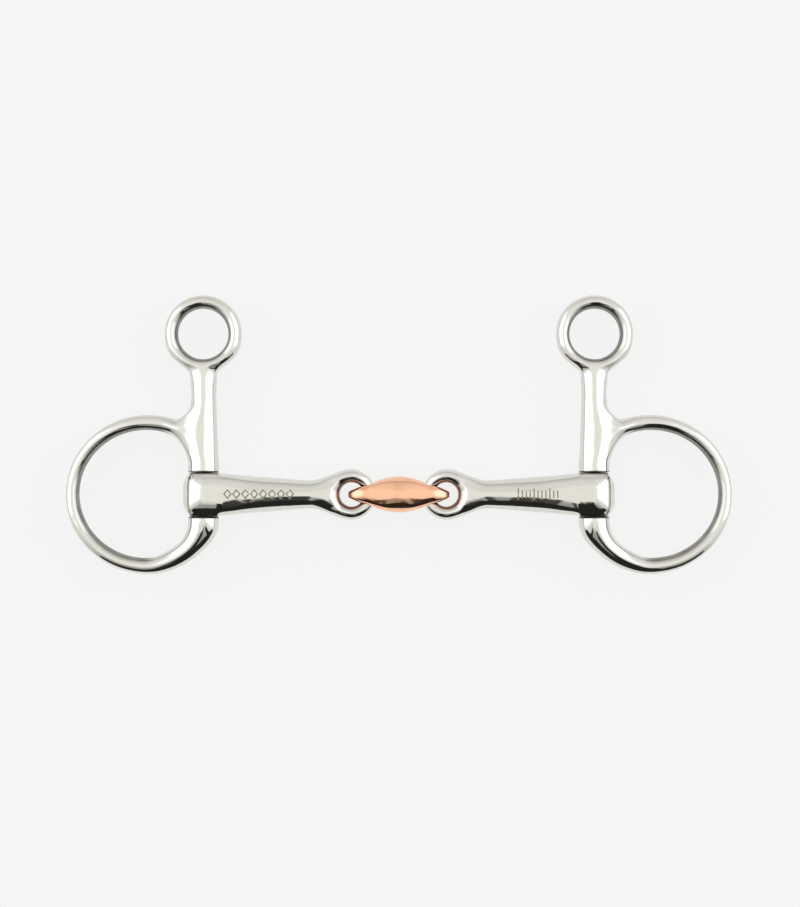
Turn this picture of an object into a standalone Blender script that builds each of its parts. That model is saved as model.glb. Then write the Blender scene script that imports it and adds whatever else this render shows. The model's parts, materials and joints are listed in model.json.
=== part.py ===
"""Hanging-cheek snaffle bit with a double-jointed mouthpiece and a copper lozenge link.

The bit lies flat: +X along the mouthpiece, +Y towards the bridle eyes, +Z up. The origin is under the
middle of the bounding box, on the surface that the barrels rest on. Lengths below are in millimetres.

Each cheek, arm and link is a cage of eight-point sections, smoothed by a Subdivision Surface modifier.
A section runs from edge point a over the top to edge point b, and back underneath.
"""

import math

import bmesh
import bpy
import numpy as np
from mathutils import Matrix

MM = 0.001

# Mouthpiece
MOUTH_WIDTH = 139.6  # between the inner faces of the two shanks
SHANK_OUTBOARD = 5.9  # from the hinge pin's axis to the shank's outer face, at its lower end
SHANK_INBOARD = 6.1
PIN_X = MOUTH_WIDTH / 2 + SHANK_INBOARD
BARREL_RADIUS = 7.8
BARREL_HALF_HEIGHT = 8.45  # along the hinge pin
BARREL_END_GAP = 0.5  # between the barrel and the shank or the boss
ARM_EYE_CENTRE = 57.1  # from the hinge pin
ARM_EYE_RADIUS = 9.85
ARM_HOLE_CENTRE = 57.6  # from the hinge pin
ARM_HOLE_RADIUS = 4.65
RIM_PIVOT = 64.2  # middle of the rim bar that the link turns on, from the hinge pin

# Copper link
LINK_HALF_LENGTH = 19.6
LINK_HOLE_RADIUS = 3.5
LINK_HOLE_X = 12.0
LINK_BODY_HALF_DEPTH = 6.3
LINK_EYE_HALF_DEPTH = 5.7
LINK_HALF_HEIGHT = 7.0
LINK_END_HALF_HEIGHT = 2.0
LINK_SIDE_REACH = 6.6  # where the squarish outline of the link's cross-section would close

# Cheeks, measured from the hinge pin's axis: x outwards, y towards the bridle eye
EYE_Y = 62.3
EYE_RADIUS = 15.0
EYE_HOLE_RADIUS = 9.75
RING_X = 21.3
RING_HALF_X = 32.0
RING_HALF_Y = 30.9
OPENING_X = 22.0
OPENING_Y = 0.2
OPENING_HALF_X = 26.1
OPENING_HALF_Y = 24.8
REAM_DEPTH = 0.12  # how far reaming cuts into the round inner wall of an eye or a ring
REAMER_SIDES = 32
CHEEK_END_Y = 8.2  # where the shank and the boss end before the barrel's slot is cut

# Hinge pins
PIN_RADIUS = 2.2
PIN_GAP = 0.3
PIN_TOP = 17.0  # above the mouthpiece's axis
PIN_BOTTOM = -15.5
PIN_CHAMFER = 0.4
PIN_SIDES = 24

MOUTH_Y = -(EYE_Y + EYE_RADIUS - RING_HALF_Y) / 2  # puts the middle of the bounding box at y = 0
MOUTH_Z = BARREL_RADIUS

ROUND = math.cos(math.radians(45))  # where the corner points of an elliptical section lie
CAGE_ROUNDS = 24
SMOOTH_LEVELS = 1
CUTTER_REACH = 12.0


class Cage:
    """Points that the finished surface passes through, and the four-sided faces between them."""

    def __init__(self):
        self.points = []
        self.faces = []

    def section(self, points):
        """Adds one section's eight points and returns their numbers."""
        first = len(self.points)
        self.points += points
        return list(range(first, first + len(points)))

    def bridge(self, first, second, skip=()):
        """Joins two sections, leaving out the strips that start at the points in skip."""
        count = len(first)
        for i in range(count):
            if i not in skip:
                j = (i + 1) % count
                self.faces.append((first[i], first[j], second[j], second[i]))

    def tube(self, sections):
        for first, second in zip(sections, sections[1:]):
            self.bridge(first, second)

    def eye(self, sections):
        """A closed ring whose second section stands at a port in its outer side. Returns the port's loop."""
        before, middle, after = sections[:3]
        port_strips = (0, 7)
        self.bridge(before, middle, skip=port_strips)
        self.bridge(middle, after, skip=port_strips)
        self.tube(sections[2:] + sections[:1])
        return self.port(before, middle, after)

    def port(self, before, middle, after):
        """The loop round a hole in a tube's side, in the order of a section of the branch that fills it."""
        return [before[0], before[1], middle[1], after[1], after[0], after[7], middle[7], before[7]]

    def cap(self, section, tip):
        self.points.append(tip)
        centre = len(self.points) - 1
        for i in range(0, 8, 2):
            self.faces.append((section[i], section[i + 1], section[(i + 2) % 8], centre))

    def mesh(self, name):
        """The mesh whose subdivided surface passes through the points, in metres."""
        used = sorted({i for face in self.faces for i in face})
        renumber = {old: new for new, old in enumerate(used)}
        targets = np.array([self.points[i] for i in used])
        faces = [[renumber[i] for i in face] for face in self.faces]
        cage = fit_cage(targets, faces) * MM
        mesh = bpy.data.meshes.new(name)
        mesh.from_pydata(cage.tolist(), [], faces)
        point_faces_outwards(mesh)
        return mesh


def fit_cage(targets, faces):
    """Moves the cage's points until the Catmull-Clark limit surface passes through the targets."""
    count = len(targets)
    neighbours = np.zeros((count, count))
    diagonals = np.zeros((count, count))
    for face in faces:
        for k in range(4):
            a, b, c = face[k], face[(k + 1) % 4], face[(k + 2) % 4]
            neighbours[a, b] = neighbours[b, a] = 1
            diagonals[a, c] += 1
    valence = neighbours.sum(axis=1)[:, None]
    weights = valence**2 * np.eye(count) + 4 * neighbours + diagonals
    weights /= valence * (valence + 5)
    cage = targets.copy()
    for _ in range(CAGE_ROUNDS):
        cage += targets - weights @ cage
    return cage


def point_faces_outwards(mesh):
    bm = bmesh.new()
    bm.from_mesh(mesh)
    bmesh.ops.recalc_face_normals(bm, faces=bm.faces)
    bm.to_mesh(mesh)
    bm.free()


def flat_section(a, b, half_height, across=ROUND, up=ROUND):
    """A section of a piece that lies in the XY plane, between edge points a and b.

    across and up place the corner points: both are ROUND on an ellipse, and nearer 1 on a squarer bar.
    """
    ax, ay = a
    bx, by = b
    cx, cy = (ax + bx) / 2, (ay + by) / 2
    hx, hy = (ax - bx) / 2 * across, (ay - by) / 2 * across
    corner = half_height * up
    return [
        (ax, ay, 0.0),
        (cx + hx, cy + hy, corner),
        (cx, cy, half_height),
        (cx - hx, cy - hy, corner),
        (bx, by, 0.0),
        (cx - hx, cy - hy, -corner),
        (cx, cy, -half_height),
        (cx + hx, cy + hy, -corner),
    ]


def port_section(a, b, half_height, root_height):
    """A section with a branch growing out of its side a, where the branch's crown is root_height up."""
    points = flat_section(a, b, half_height)
    for i, side in ((1, 1), (7, -1)):
        x, y, _ = points[i]
        points[i] = (x, y, side * root_height)
    return points


def blend(start, end, share):
    return start + (end - start) * share


def ellipse_point(centre_x, centre_y, half_x, half_y, degrees):
    angle = math.radians(degrees)
    return centre_x + half_x * math.cos(angle), centre_y + half_y * math.sin(angle)


def bridle_eye(cage):
    """The small round eye, with its port at the bottom. Returns the loop where the shank joins it."""
    port_angle = 24.0
    flare = 0.4  # how much the outer radius grows towards the shank
    shank_crown = 3.95
    spans = 11
    step = (360 - 2 * port_angle) / spans
    angles = [-90 + port_angle, -90]
    angles += [-90 - port_angle - step * i for i in range(spans)]
    sections = []
    for angle in angles:
        to_shank = max(0.0, math.cos(math.radians(angle + 90)))
        radius = EYE_RADIUS + flare * to_shank**2
        outer = ellipse_point(0, EYE_Y, radius, radius, angle)
        inner = ellipse_point(0, EYE_Y, EYE_HOLE_RADIUS, EYE_HOLE_RADIUS, angle)
        half_height = blend(3.3, 3.9, to_shank**4)
        points = flat_section(outer, inner, half_height)
        if angle == -90:
            points = port_section((0, EYE_Y - EYE_RADIUS), inner, half_height, shank_crown)
        sections.append(cage.section(points))
    return cage.eye(sections)


def shank(cage, port):
    """The bar from the bridle eye's port down to the barrel. Returns the loop where the rein ring joins it."""
    # height above the mouthpiece, outboard edge, inboard edge, half height in Z
    upper = [(45.3, 5.1, -5.35, 4.1), (41.0, 4.7, -5.1, 4.2), (37.0, 4.7, -5.1, 4.3)]
    lower = [(y, SHANK_OUTBOARD, -SHANK_INBOARD, h) for y, h in ((12.6, 5.3), (9.9, 5.4), (CHEEK_END_Y, 5.4))]
    sections = [cage.section(flat_section((a, y), (b, y), h)) for y, a, b, h in upper]
    ring_crown = 4.35
    top_crotch = cage.section(flat_section((5.75, 32.7), (-5.2, 32.4), 4.5))
    middle = cage.section(port_section((7.4, 24.6), (-5.5, 24.6), 4.8, ring_crown))
    low_crotch = cage.section(flat_section((7.1, 16.4), (-5.8, 16.4), 5.1))
    end = [cage.section(flat_section((a, y), (b, y), h)) for y, a, b, h in lower]
    cage.tube([port] + sections + [top_crotch])
    port_strips = (0, 7)
    cage.bridge(top_crotch, middle, skip=port_strips)
    cage.bridge(middle, low_crotch, skip=port_strips)
    cage.tube([low_crotch] + end)
    cage.cap(end[-1], (0.0, CHEEK_END_Y, 0.0))
    return cage.port(top_crotch, middle, low_crotch)


def rein_ring(cage, port):
    """The large ring, from its root on the shank round to the boss under the barrel."""
    root = [((9.6, 29.5), (10.3, 21.5), 4.1)]
    first_angle, last_angle, spans = 102, -90, 12
    bar = []
    for i in range(spans + 1):
        angle = blend(first_angle, last_angle, i / spans)
        outer = ellipse_point(RING_X, 0, RING_HALF_X, RING_HALF_Y, angle)
        inner = ellipse_point(OPENING_X, OPENING_Y, OPENING_HALF_X, OPENING_HALF_Y, angle)
        bar.append((outer, inner, 3.4))
    boss = [
        ((14.0, -29.9), (17.1, -23.5), 3.6),
        ((7.0, -27.0), (12.6, -21.1), 3.9),
        ((1.4, -23.0), (9.0, -18.3), 4.3),
        ((-3.0, -18.6), (7.0, -15.4), 4.8),
        ((-5.5, -14.2), (6.1, -12.6), 5.2),
        ((-SHANK_INBOARD, -10.6), (SHANK_OUTBOARD, -10.4), 5.4),
        ((-SHANK_INBOARD, -CHEEK_END_Y), (SHANK_OUTBOARD, -CHEEK_END_Y), 5.4),
    ]
    sections = [cage.section(flat_section(*line)) for line in root + bar + boss]
    cage.tube([port] + sections)
    cage.cap(sections[-1], (0.0, -CHEEK_END_Y, 0.0))


def cheek_cage():
    cage = Cage()
    root = shank(cage, bridle_eye(cage))
    rein_ring(cage, root)
    return cage


def arm_cage():
    """One arm of the mouthpiece, with x from the hinge pin towards the middle of the bit."""
    cage = Cage()
    # distance from the pin, half width in Y, half height in Z, squareness from 0 (round) to 1 (square)
    outline = [
        (-6.4, 8.25, 4.6, 0.6),
        (-3.8, 8.7, 6.9, 0.7),
        (0.0, 8.75, 7.8, 0.7),
        (4.2, 8.7, 7.8, 0.6),
        (8.4, 8.3, 7.6, 0.4),
        (14.0, 7.6, 7.2, 0.15),
        (21.0, 7.0, 6.8, 0.0),
        (28.0, 6.45, 6.3, 0.0),
        (35.0, 5.9, 5.7, 0.0),
        (40.4, 5.5, 5.2, 0.0),
        (44.6, 5.95, 4.95, 0.0),
    ]
    sections = []
    for x, half_width, half_height, square in outline:
        corner = blend(ROUND, 0.95, square)
        points = flat_section((x, half_width), (x, -half_width), half_height, corner, corner * 0.96)
        sections.append(cage.section(points))
    cage.tube(sections)
    cage.cap(sections[0], (-BARREL_RADIUS, 0.0, 0.0))
    cage.bridge(sections[-1], arm_eye(cage))
    return cage


def arm_eye(cage):
    """The eye at the arm's inner end. Returns the loop where the neck joins it."""
    port_angle = 133.5
    neck_crown = 4.75
    spans = 9
    step = 2 * port_angle / spans
    angles = [port_angle, 180] + [-port_angle + step * i for i in range(spans)]
    sections = []
    for angle in angles:
        inner = ellipse_point(ARM_HOLE_CENTRE, 0, ARM_HOLE_RADIUS, ARM_HOLE_RADIUS, angle)
        outer = ellipse_point(ARM_EYE_CENTRE, 0, ARM_EYE_RADIUS, ARM_EYE_RADIUS, angle)
        half_height = blend(2.6, 4.4, (1 - math.cos(math.radians(angle))) / 2)
        if abs(angle) == port_angle:
            outer = (50.1, math.copysign(7.9, angle))
        points = flat_section(outer, inner, half_height)
        if angle == 180:
            points = port_section((48.2, 0), inner, half_height, neck_crown)
        sections.append(cage.section(points))
    return cage.eye(sections)


def link_height(x, z):
    """The link's half height in Y over a point of its plan: a squarish bar that swells towards its middle."""
    swell = math.cos(math.pi / 2 * min(1.0, abs(x) / LINK_HALF_LENGTH))
    crown = LINK_END_HALF_HEIGHT + (LINK_HALF_HEIGHT - LINK_END_HALF_HEIGHT) * swell**1.1
    squareness = 3.0
    return crown * (1 - (abs(z) / LINK_SIDE_REACH) ** squareness) ** (1 / squareness)


def link_section(a, b, hole_rim=1.0):
    """A section of the link between two points (x, z) of its plan. hole_rim lowers the rim on side b."""
    across = 0.8 if hole_rim == 1.0 else ROUND
    section = []
    for i, (x, z, up) in enumerate(flat_section(a, b, 1.0, across)):
        height = link_height(x, z) * (hole_rim if i in (3, 5) else 1.0)
        section.append((x, math.copysign(height, up) if up else 0.0, z))
    return section


def link_eye(cage, side):
    """One eye of the link, round a hole along Y. Returns the loop where the link's body joins it."""
    port_angle = 126.0
    spans = 8
    step = 2 * port_angle / spans
    angles = [port_angle, 180] + [-port_angle + step * i for i in range(spans)]
    end_bar = LINK_HALF_LENGTH - LINK_HOLE_X
    sections = []
    for angle in angles:
        inner = ellipse_point(LINK_HOLE_X, 0, LINK_HOLE_RADIUS, LINK_HOLE_RADIUS, angle)
        outer = ellipse_point(LINK_HOLE_X, 0, end_bar, LINK_EYE_HALF_DEPTH, angle)
        if abs(angle) == port_angle:
            outer = (7.4, math.copysign(6.1, angle))
        elif angle == 180:
            outer = (6.2, 0.0)
        a = (side * outer[0], outer[1])
        b = (side * inner[0], inner[1])
        sections.append(cage.section(link_section(a, b, hole_rim=0.82)))
    return cage.eye(sections)


def link_cage():
    cage = Cage()
    left = link_eye(cage, -1)
    right = link_eye(cage, 1)
    body = []
    for x in (-4.2, 0.0, 4.2):
        depth = LINK_BODY_HALF_DEPTH
        body.append(cage.section(link_section((x, depth), (x, -depth))))
    cage.tube([left] + body + [right])
    return cage


def new_material(name, colour, roughness, metallic):
    material = bpy.data.materials.new(name)
    material.use_nodes = True
    shader = material.node_tree.nodes["Principled BSDF"]
    shader.inputs["Base Color"].default_value = (*colour, 1.0)
    shader.inputs["Roughness"].default_value = roughness
    shader.inputs["Metallic"].default_value = metallic
    return material


def new_object(name, mesh, parent, material=None):
    obj = bpy.data.objects.new(name, mesh)
    bpy.context.scene.collection.objects.link(obj)
    obj.parent = parent
    if material:
        mesh.materials.append(material)
    return obj


def smooth(obj):
    obj.data.shade_smooth()
    subdivision = obj.modifiers.new("smooth", "SUBSURF")
    subdivision.levels = SMOOTH_LEVELS
    subdivision.render_levels = SMOOTH_LEVELS


def cut(obj, cutter):
    """Takes the cutter's shape out of the object, and hides the cutter."""
    cutter.hide_render = True
    cutter.display_type = "WIRE"
    boolean = obj.modifiers.new(cutter.name, "BOOLEAN")
    boolean.operation = "DIFFERENCE"
    boolean.solver = "EXACT"
    boolean.object = cutter


def box_mesh(name, low, high):
    bm = bmesh.new()
    size = [(h - l) * MM for l, h in zip(low, high)]
    middle = [(h + l) / 2 * MM for l, h in zip(low, high)]
    bmesh.ops.create_cube(bm, size=1.0, matrix=Matrix.Translation(middle) @ Matrix.Diagonal((*size, 1.0)))
    mesh = bpy.data.meshes.new(name)
    bm.to_mesh(mesh)
    bm.free()
    return mesh


def rod_mesh(name, radius, low_y, high_y, chamfer=0.0):
    """A round rod along Y through the origin, its sides shaded smooth."""
    bm = bmesh.new()
    middle = (low_y + high_y) / 2 * MM
    place = Matrix.Translation((0, middle, 0)) @ Matrix.Rotation(math.radians(90), 4, "X")
    length = (high_y - low_y) * MM
    radius = radius * MM
    bmesh.ops.create_cone(
        bm, cap_ends=True, segments=PIN_SIDES, radius1=radius, radius2=radius, depth=length, matrix=place
    )
    if chamfer:
        rims = [e for e in bm.edges if any(len(f.verts) > 4 for f in e.link_faces)]
        bmesh.ops.bevel(bm, geom=rims, offset=chamfer * MM, segments=1, affect="EDGES")
    mesh = bpy.data.meshes.new(name)
    bm.to_mesh(mesh)
    bm.free()
    mesh.shade_smooth()
    mesh.set_sharp_from_angle(angle=math.radians(30))
    return mesh


def prism_mesh(name, outline):
    """A prism along Z through the whole cheek, with the given outline in XY."""
    bm = bmesh.new()
    rims = []
    for z in (-CUTTER_REACH, CUTTER_REACH):
        rims.append([bm.verts.new((x * MM, y * MM, z * MM)) for x, y in outline])
    low, high = rims
    bm.faces.new(low)
    bm.faces.new(high)
    count = len(outline)
    for i in range(count):
        j = (i + 1) % count
        bm.faces.new((low[i], low[j], high[j], high[i]))
    bmesh.ops.recalc_face_normals(bm, faces=bm.faces)
    mesh = bpy.data.meshes.new(name)
    bm.to_mesh(mesh)
    bm.free()
    return mesh


def reamer_outline(centre_x, centre_y, half_x, half_y, first_degrees, last_degrees):
    """Corner points placed so that one flat side faces +X, and on a full turn another faces +Y."""
    step = (last_degrees - first_degrees) / REAMER_SIDES
    angles = [first_degrees + step * (i + 0.5) for i in range(REAMER_SIDES)]
    return [ellipse_point(centre_x, centre_y, half_x, half_y, angle) for angle in angles]


def mirrored(mesh, side):
    """A copy of the mesh for this side of the bit: -1 turns it into its mirror image."""
    copy = mesh.copy()
    if side < 0:
        copy.transform(Matrix.Diagonal((-1, 1, 1, 1)))
        copy.flip_normals()
    return copy


def build_cheek(side, name, hinge, meshes, steel):
    cheek = new_object(f"{name}_cheek", mirrored(meshes["cheek"], side), hinge, steel)
    smooth(cheek)
    for part in ("barrel_slot", "pin_hole", "eye_reamer", "ring_reamer"):
        cut(cheek, new_object(f"{name}_{part}", mirrored(meshes[part], side), hinge))


def build_arm(side, name, hinge, pivot, meshes, steel):
    """The arm hangs on the empty at its rim bar, where the link turns."""
    arm = new_object(f"{name}_arm", mirrored(meshes["arm"], -side), pivot, steel)
    reach = (hinge.location.x - pivot.location.x, 0, 0)
    arm.data.transform(Matrix.Translation(reach))
    smooth(arm)
    for part in ("barrel_bore", "barrel_facing"):
        cutter = new_object(f"{name}_{part}", mirrored(meshes[part], side), pivot)
        cutter.data.transform(Matrix.Translation(reach))
        cut(arm, cutter)


def facing_mesh():
    """Two blocks that trim a barrel's ends flat."""
    bm = bmesh.new()
    for side in (-1, 1):
        low_y, high_y = sorted((side * BARREL_HALF_HEIGHT, side * CUTTER_REACH))
        low, high = (-CUTTER_REACH, low_y, -CUTTER_REACH), (CUTTER_REACH, high_y, CUTTER_REACH)
        block = box_mesh("block", low, high)
        bm.from_mesh(block)
        bpy.data.meshes.remove(block)
    mesh = bpy.data.meshes.new("barrel_facing")
    bm.to_mesh(mesh)
    bm.free()
    return mesh


def make_meshes():
    slot = BARREL_HALF_HEIGHT + BARREL_END_GAP
    hole = PIN_RADIUS + PIN_GAP
    reach = CUTTER_REACH
    eye_radius = EYE_HOLE_RADIUS + REAM_DEPTH
    eye_outline = reamer_outline(0, EYE_Y, eye_radius, eye_radius, 0, 360)
    ring_half_x, ring_half_y = OPENING_HALF_X + REAM_DEPTH, OPENING_HALF_Y + REAM_DEPTH
    ring_outline = reamer_outline(OPENING_X, OPENING_Y, ring_half_x, ring_half_y, -100, 100)
    return {
        "cheek": cheek_cage().mesh("cheek"),
        "arm": arm_cage().mesh("arm"),
        "barrel_slot": box_mesh("barrel_slot", (-reach, -slot, -reach), (reach, slot, reach)),
        "pin_hole": rod_mesh("pin_hole", hole, PIN_BOTTOM - PIN_GAP, PIN_TOP + PIN_GAP),
        "eye_reamer": prism_mesh("eye_reamer", eye_outline),
        "ring_reamer": prism_mesh("ring_reamer", ring_outline),
        "barrel_bore": rod_mesh("barrel_bore", hole, -CUTTER_REACH, CUTTER_REACH),
        "barrel_facing": facing_mesh(),
        "pin": rod_mesh("pin", PIN_RADIUS, PIN_BOTTOM, PIN_TOP, PIN_CHAMFER),
    }


def new_empty(name, x):
    empty = bpy.data.objects.new(name, None)
    empty.location = (x * MM, MOUTH_Y * MM, MOUTH_Z * MM)
    bpy.context.scene.collection.objects.link(empty)
    return empty


def main():
    for obj in list(bpy.data.objects):
        bpy.data.objects.remove(obj, do_unlink=True)
    cheek_steel = new_material("polished_steel", (0.80, 0.79, 0.76), 0.08, 1.0)
    arm_steel = new_material("mouthpiece_steel", (0.74, 0.73, 0.69), 0.10, 1.0)
    pin_steel = new_material("pin_steel", (0.52, 0.52, 0.50), 0.25, 1.0)
    copper = new_material("copper", (0.90, 0.48, 0.30), 0.14, 1.0)
    meshes = make_meshes()
    middle = new_empty("bit_middle", 0)
    link = new_object("lozenge_link", link_cage().mesh("lozenge_link"), middle, copper)
    smooth(link)
    for side, name in ((-1, "left"), (1, "right")):
        hinge = new_empty(f"{name}_hinge_axis", side * PIN_X)
        pivot = new_empty(f"{name}_fold_axis", side * (PIN_X - RIM_PIVOT))
        build_cheek(side, name, hinge, meshes, cheek_steel)
        build_arm(side, name, hinge, pivot, meshes, arm_steel)
        new_object(f"{name}_hinge_pin", mirrored(meshes["pin"], side), hinge, pin_steel)
    for mesh in meshes.values():
        bpy.data.meshes.remove(mesh)


main()
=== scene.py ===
"""Looks of a hanging-cheek snaffle bit: smooth steel castings and arms, and a copper lozenge link.

Each piece is a cage of sections, smoothed by a Subdivision Surface modifier. Its points are in millimetres in
a frame of its own: x from the hinge pin's axis (from the middle for the link), y from the mouthpiece's axis
towards the bridle eyes, and z up from the middle of the bit's thickness. The finished meshes are in metres in
the CAD frame.
"""

import json
import math

import bmesh
import bpy
import numpy as np
from mathutils import Matrix, Vector


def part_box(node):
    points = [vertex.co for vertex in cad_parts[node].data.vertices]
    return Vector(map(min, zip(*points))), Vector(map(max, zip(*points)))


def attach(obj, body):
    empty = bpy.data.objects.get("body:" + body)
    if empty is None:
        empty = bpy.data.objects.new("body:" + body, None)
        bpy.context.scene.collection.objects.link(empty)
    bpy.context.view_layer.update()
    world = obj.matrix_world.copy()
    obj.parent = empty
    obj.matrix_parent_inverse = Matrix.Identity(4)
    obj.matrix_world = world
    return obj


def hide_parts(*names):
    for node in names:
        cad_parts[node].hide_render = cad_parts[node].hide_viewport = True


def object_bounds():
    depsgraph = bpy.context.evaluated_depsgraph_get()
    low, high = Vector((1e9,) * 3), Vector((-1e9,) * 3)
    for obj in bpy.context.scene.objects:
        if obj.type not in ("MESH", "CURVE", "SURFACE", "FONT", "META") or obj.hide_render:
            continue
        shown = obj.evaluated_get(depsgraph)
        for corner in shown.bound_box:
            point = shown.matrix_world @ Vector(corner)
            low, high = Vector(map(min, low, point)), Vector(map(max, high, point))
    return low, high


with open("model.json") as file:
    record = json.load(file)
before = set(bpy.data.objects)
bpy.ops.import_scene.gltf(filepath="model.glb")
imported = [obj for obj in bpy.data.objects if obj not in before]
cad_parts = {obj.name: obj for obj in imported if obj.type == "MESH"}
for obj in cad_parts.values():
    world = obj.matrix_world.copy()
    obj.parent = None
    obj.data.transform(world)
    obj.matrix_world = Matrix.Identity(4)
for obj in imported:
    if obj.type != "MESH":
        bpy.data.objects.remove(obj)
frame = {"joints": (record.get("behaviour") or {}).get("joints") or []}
cad_low, cad_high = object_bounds()

MM = 0.001  # a millimetre in metres, the CAD frame's unit
JOINTS = {joint["name"]: Vector(joint["pos_m"]) / MM for joint in frame["joints"]}
PIN_X = JOINTS["right_cheek_turn"].x
MOUTH_Y = JOINTS["right_cheek_turn"].y
MOUTH_Z = JOINTS["right_cheek_turn"].z
PIN_LOW, PIN_HIGH = (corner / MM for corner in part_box("right_hinge_pin"))
ARM_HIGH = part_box("right_arm")[1] / MM
CHEEK_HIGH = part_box("right_cheek")[1] / MM
LINK_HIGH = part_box("lozenge_link")[1] / MM

ROUND = math.cos(math.radians(45))  # where the corner points of an elliptical section lie
CAGE_ROUNDS = 40  # steps in which fit_cage settles
SMOOTH_LEVELS = 3
BAR_POINTS = 16  # points round a section of an arm or of the link
EDGE = 0.4  # how far support loops stand from an edge, which sets how tight it is
# the shares in INNER_WALL set how much painted shade these points get
INNER_WALL = ((3, 0.75), (4, 1.0), (5, 0.75))  # a section's points on the inside of an eye or a ring

# Hinge pin and its holes
HOLE_GAP = 0.3
HOLE_RADIUS = (PIN_HIGH.x - PIN_LOW.x) / 2 + HOLE_GAP
HOLE_TOP = PIN_HIGH.y - MOUTH_Y + HOLE_GAP
HOLE_BOTTOM = PIN_LOW.y - MOUTH_Y - HOLE_GAP

# Mouthpiece arms, measured from the hinge pin's axis: x inwards
BARREL_RADIUS = ARM_HIGH.x - PIN_X
BARREL_HALF_HEIGHT = 8.45
BARREL_SQUARENESS = 3.1
SEEN_GAP = 0.1  # between the barrel and the shank or the boss
ARM_EYE_CENTRE = 57.1
ARM_EYE_RADIUS = 9.85
ARM_HOLE_CENTRE = 57.6
ARM_HOLE_RADIUS = 4.65

# Copper link
LINK_HALF_LENGTH = LINK_HIGH.x
LINK_HOLE_RADIUS = 3.5
LINK_HOLE_X = 12.0
LINK_BODY_HALF_DEPTH = 6.3
LINK_EYE_HALF_DEPTH = 5.7
LINK_HALF_HEIGHT = 7.0
LINK_END_HALF_HEIGHT = 2.5
LINK_TAPER_X = 14.0  # where the height starts to round off towards the tip
LINK_TIP_X = 18.1  # the last section, which the rounded tip closes

# Cheeks, measured from the hinge pin's axis: x outwards, y towards the bridle eye
SHANK_OUTBOARD = 5.9
SHANK_INBOARD = 6.1
CHEEK_END_HALF_HEIGHT = 5.4
EYE_RADIUS = 15.0
EYE_HOLE_RADIUS = 9.75
EYE_Y = CHEEK_HIGH.y - MOUTH_Y - EYE_RADIUS
RING_X = 21.3
RING_HALF_X = CHEEK_HIGH.x - PIN_X - RING_X
RING_HALF_Y = 30.9
OPENING_X = 22.0
OPENING_Y = 0.2
OPENING_HALF_X = 26.1
OPENING_HALF_Y = 24.8


class Cage:
    """Points that a smooth surface passes through, and the four-sided faces between them.

    Free points are ordinary subdivision control points, which the surface only comes near. A point's wall is
    how much of a dull inner wall it is, from 0 to 1, and the materials paint shade on the surface with it.
    """

    def __init__(self):
        self.points = []
        self.faces = []
        self.free = set()
        self.walls = {}

    def section(self, points, free=False, wall=()):
        """Adds a section's points and returns their numbers. wall holds pairs of a point and its share of
        painted shade.
        """
        first = len(self.points)
        self.points += points
        numbers = list(range(first, first + len(points)))
        if free:
            self.free.update(numbers)
        for i, share in wall:
            self.walls[numbers[i]] = share
        return numbers

    def bridge(self, first, second, skip=()):
        """Joins two sections, leaving out the strips that start at the points in skip."""
        count = len(first)
        for i in range(count):
            if i not in skip:
                j = (i + 1) % count
                self.faces.append((first[i], first[j], second[j], second[i]))

    def tube(self, sections):
        """Joins each section to the next."""
        for first, second in zip(sections, sections[1:]):
            self.bridge(first, second)

    def port(self, sections, side=0, width=1):
        """The loop round a hole in a tube's side, from the first section's side point over the top."""
        count = len(sections[0])
        up = [(side + i) % count for i in range(width + 1)]
        down = [(side - i) % count for i in range(width + 1)]
        first, middle, last = sections[0], sections[1:-1], sections[-1]
        over = [first[i] for i in up] + [s[up[-1]] for s in middle] + [last[i] for i in reversed(up)]
        under = [last[i] for i in down[1:]] + [s[down[-1]] for s in reversed(middle)]
        return over + under + [first[i] for i in reversed(down[1:])]

    def eye(self, sections, port_count=3):
        """A closed ring whose first port_count sections stand round a port in its outer side."""
        at_port = sections[:port_count]
        for first, second in zip(at_port, at_port[1:]):
            self.bridge(first, second, skip=side_strips(len(first), 0, 1))
        self.tube(sections[port_count - 1 :] + sections[:1])
        return self.port(at_port)

    def cap(self, section, tip):
        """Closes a tube with four-sided faces round a tip."""
        centre = self.section([tip], free=True)[0]
        count = len(section)
        for i in range(0, count, 2):
            self.faces.append((section[i], section[i + 1], section[(i + 2) % count], centre))

    def grid_cap(self, section, surface):
        """Closes a tube of BAR_POINTS points with a grid of 4 x 4 faces.

        Its corners are points 2, 6, 10 and 14. surface moves an inner point onto the end's surface.
        """
        top = [section[i] for i in (2, 3, 4, 5, 6)]
        bottom = [section[i] for i in (14, 13, 12, 11, 10)]
        near = [section[i] for i in (14, 15, 0, 1, 2)]
        far = [section[i] for i in (10, 9, 8, 7, 6)]
        rows = [bottom]
        for j in (1, 2, 3):
            row = [near[j]]
            for i in (1, 2, 3):
                upright = blend(np.array(self.points[bottom[i]]), np.array(self.points[top[i]]), j / 4)
                level = blend(np.array(self.points[near[j]]), np.array(self.points[far[j]]), i / 4)
                _, y, z = (upright + level) / 2
                row += self.section([surface(y, z)])
            rows.append(row + [far[j]])
        rows.append(top)
        for low, high in zip(rows, rows[1:]):
            for i in range(4):
                self.faces.append((low[i], low[i + 1], high[i + 1], high[i]))

    def mesh(self, name):
        """The mesh whose subdivided surface passes through the points, in metres."""
        used = sorted({i for face in self.faces for i in face})
        renumber = {old: new for new, old in enumerate(used)}
        targets = np.array([self.points[i] for i in used], float)
        fitted = np.array([[i not in self.free] for i in used])
        faces = [[renumber[i] for i in face] for face in self.faces]
        cage = fit_cage(targets, faces, fitted) * MM
        mesh = bpy.data.meshes.new(name)
        mesh.from_pydata(cage.tolist(), [], faces)
        point_faces_outwards(mesh)
        wall = mesh.attributes.new("wall", "FLOAT", "POINT")
        wall.data.foreach_set("value", [self.walls.get(i, 0.0) for i in used])
        return mesh


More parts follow.
